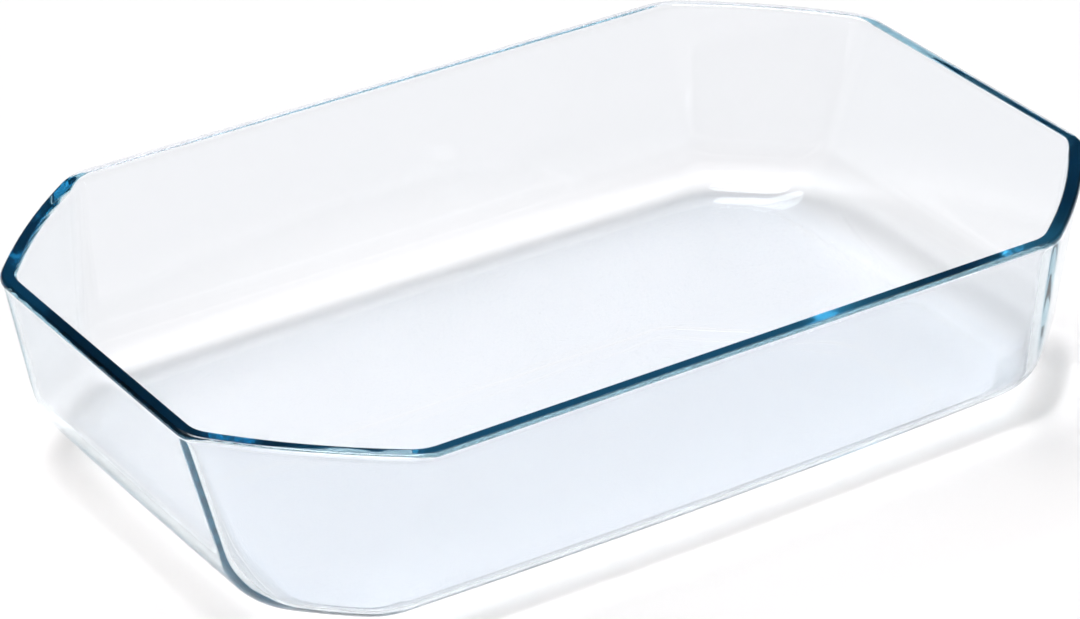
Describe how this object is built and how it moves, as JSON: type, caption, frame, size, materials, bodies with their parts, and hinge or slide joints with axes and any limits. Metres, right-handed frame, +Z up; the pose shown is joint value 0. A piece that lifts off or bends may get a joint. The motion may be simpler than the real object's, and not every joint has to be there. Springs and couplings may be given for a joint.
{
  "type": "glass baking dish",
  "caption": "Oblong clear glass oven dish with cut, gently bulged corners, leaning walls, a soft rounded foot and a flat rim with rounded edges.",
  "frame": {"origin": "middle of the flat foot, on the surface that the dish stands on", "axes": "+X along the length of the dish, +Y across its width, +Z up through the open top"},
  "size_m": [0.33, 0.208, 0.068],
  "materials": {
    "clear_glass": "fire-polished clear glass, faintly blue-green in its edges"
  },
  "bodies": {
    "root": {"dish": "clear_glass"}
  },
  "joints": []
}
